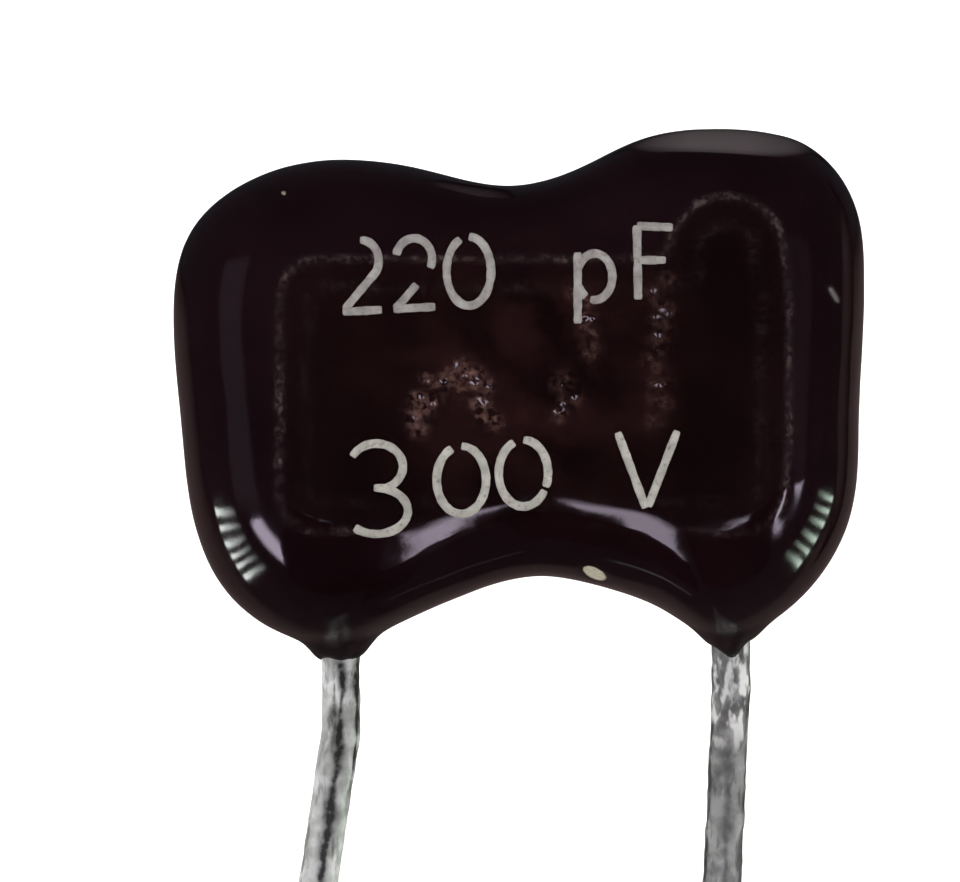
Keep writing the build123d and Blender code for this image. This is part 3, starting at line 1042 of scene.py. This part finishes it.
def card(name, start, end, width, radiance, colour, soft, fades=(0.15, 0.15)):
    """A lit card from start to end that faces the coat and that the camera doesn't see."""
    start, end = Vector(start), Vector(end)
    along = (end - start).normalized()
    away = (start + end) / 2 - Vector(TARGET)
    away = (away - along * away.dot(along)).normalized()
    corners = [(-1, -1, 0), (1, -1, 0), (1, 1, 0), (-1, 1, 0)]
    mesh = bpy.data.meshes.new(name)
    mesh.from_pydata(corners, [], [(0, 1, 2, 3)])
    mesh.materials.append(card_material(name, radiance, colour, soft, fades))
    made = bpy.data.objects.new(name, mesh)
    turn = Matrix((along.cross(away), along, away)).transposed().to_4x4()
    size = Matrix.Diagonal((width / 2 * METRE, (end - start).length / 2 * METRE, METRE, 1))
    made.matrix_world = Matrix.Translation((start + end) / 2 * METRE) @ turn @ size
    made.visible_camera = made.visible_shadow = False
    bpy.context.scene.collection.objects.link(made)


def make_cards():
    """The soft studio light, as the cards whose reflections shape the glossy coat."""
    for name, (start, end, width, radiance, soft, fades) in BACK_CARDS.items():
        card(name, start, end, width, radiance, WARM, soft, fades)
    start, end = (seen(turn, OVERHEAD, LOBE_CARD_DISTANCE, LOBE) for turn in LOBE_CARD_TURNS)
    width, radiance = LOBE_CARD_WIDTH, LOBE_CARD_RADIANCE
    card("above_behind", start, end, width, radiance, PALE, 0.8, LOBE_CARD_FADES)
    for side, (first, last, radiance, fades) in BOUNCES.items():
        start = seen(BOUNCE_TURN, first, origin=WAIST)
        end = seen(BOUNCE_TURN, last, origin=WAIST)
        card(f"{side}_bounce", start, end, BOUNCE_WIDTH, radiance, LILAC, 0.4, fades)
    for side, (start, end, width, radiance, soft) in BOXES.items():
        card(f"{side}_box", seen(*start), seen(*end), width, radiance, LILAC, soft)
    for number in range(COMB_TEETH):
        for side in SIDES:
            comb_card(side, number)
    for side, (start, end, width, radiance, soft) in SLATS.items():
        start, end = seen(*start, origin=CORNERS[side]), seen(*end, origin=CORNERS[side])
        card(f"{side}_slat", start, end, width, radiance, LILAC, soft)
    for name, (middle, width, height) in FLAGS.items():
        flag(name, middle, width, height)


def flag(name, middle, width, height):
    """A small black board that keeps a bright card's reflection off the lobes."""
    half_width, half_height = width / 2, height / 2
    corners = [(-half_width, 0, -half_height), (half_width, 0, -half_height)]
    corners += [(half_width, 0, half_height), (-half_width, 0, half_height)]
    material, tree = new_material(name)
    speckle = grain(tree, place(tree), 2.0)
    black = blend(tree, speckle, (0.001, 0.001, 0.001), (0.003, 0.003, 0.003))
    shader = add(tree, "BsdfDiffuse", {"Color": black})
    add(tree, "OutputMaterial", {"Surface": shader.outputs[0]})
    board = mesh_object(name, corners, [(0, 1, 2, 3)], material)
    board.location = Vector(middle) * METRE
    board.rotation_euler.x = math.radians(FLAG_TILT)
    board.visible_camera = False


def comb_card(side, number):
    """One thin card of a corner's comb, which fades and leans as it comes forward."""
    first, step, lean = COMB_ANGLES[side]
    clock = first + step * number
    start = seen(COMB_TURNS[0], clock, origin=CORNERS[side])
    end = seen(COMB_TURNS[1], clock + lean, origin=CORNERS[side])
    radiance, colour = COMB_LIGHT[side]
    card(f"{side}_comb_{number}", start, end, COMB_WIDTH, radiance, colour, 0.5, (0.05, 0.85))


def make_studio():
    """A plain white floor that curves up into a wall, and a faint grey world."""
    material, tree = new_material("studio_white")
    speckle = between(tree, grain(tree, place(tree), 0.4), 0.3, 0.7)
    white = blend(tree, speckle, (0.86, 0.86, 0.86), (0.90, 0.90, 0.90))
    glow = {"Emission Color": (1.0, 1.0, 1.0, 1.0), "Emission Strength": STUDIO_GLOW}
    shader = add(tree, "BsdfPrincipled", {"Base Color": white, "Roughness": 0.9, **glow})
    add(tree, "OutputMaterial", {"Surface": shader.outputs[0]})
    rings, count = [], 96
    for radius, height in bowl_profile():
        for i in range(count):
            turn = 2 * math.pi * i / count
            rings.append((radius * math.cos(turn), radius * math.sin(turn), height))
    faces = ring_faces(len(rings) // count, count, closed_ends=False)
    faces.append(tuple(reversed(range(count))))
    studio = mesh_object("studio", rings, faces, material)
    studio.visible_glossy = studio.visible_shadow = False
    world = bpy.data.worlds.new("studio_world")
    world.use_nodes = True
    background = world.node_tree.nodes["Background"]
    background.inputs["Color"].default_value = (0.8, 0.85, 1.0, 1.0)
    background.inputs["Strength"].default_value = WORLD_GLOW
    bpy.context.scene.world = world


def bowl_profile():
    """The studio's section: a flat floor, a wide curve and an upright wall."""
    profile = [(0.5 * BOWL_CURVE, FLOOR_Z), (BOWL_FLOOR, FLOOR_Z)]
    for degrees in range(6, 91, 6):
        turn = math.radians(degrees)
        radius = BOWL_FLOOR + BOWL_CURVE * math.sin(turn)
        profile.append((radius, FLOOR_Z + BOWL_CURVE * (1 - math.cos(turn))))
    return profile + [(BOWL_FLOOR + BOWL_CURVE, FLOOR_Z + BOWL_WALL)]


make_camera()
bpy.context.scene.view_settings.view_transform = "Standard"
make_studio()
make_cards()
wire_exit = {side: exit_of(side) for side in SIDES}
coat = make_coat()
for side in SIDES:
    make_wire(side)
make_marking(coat)
dress_inside()
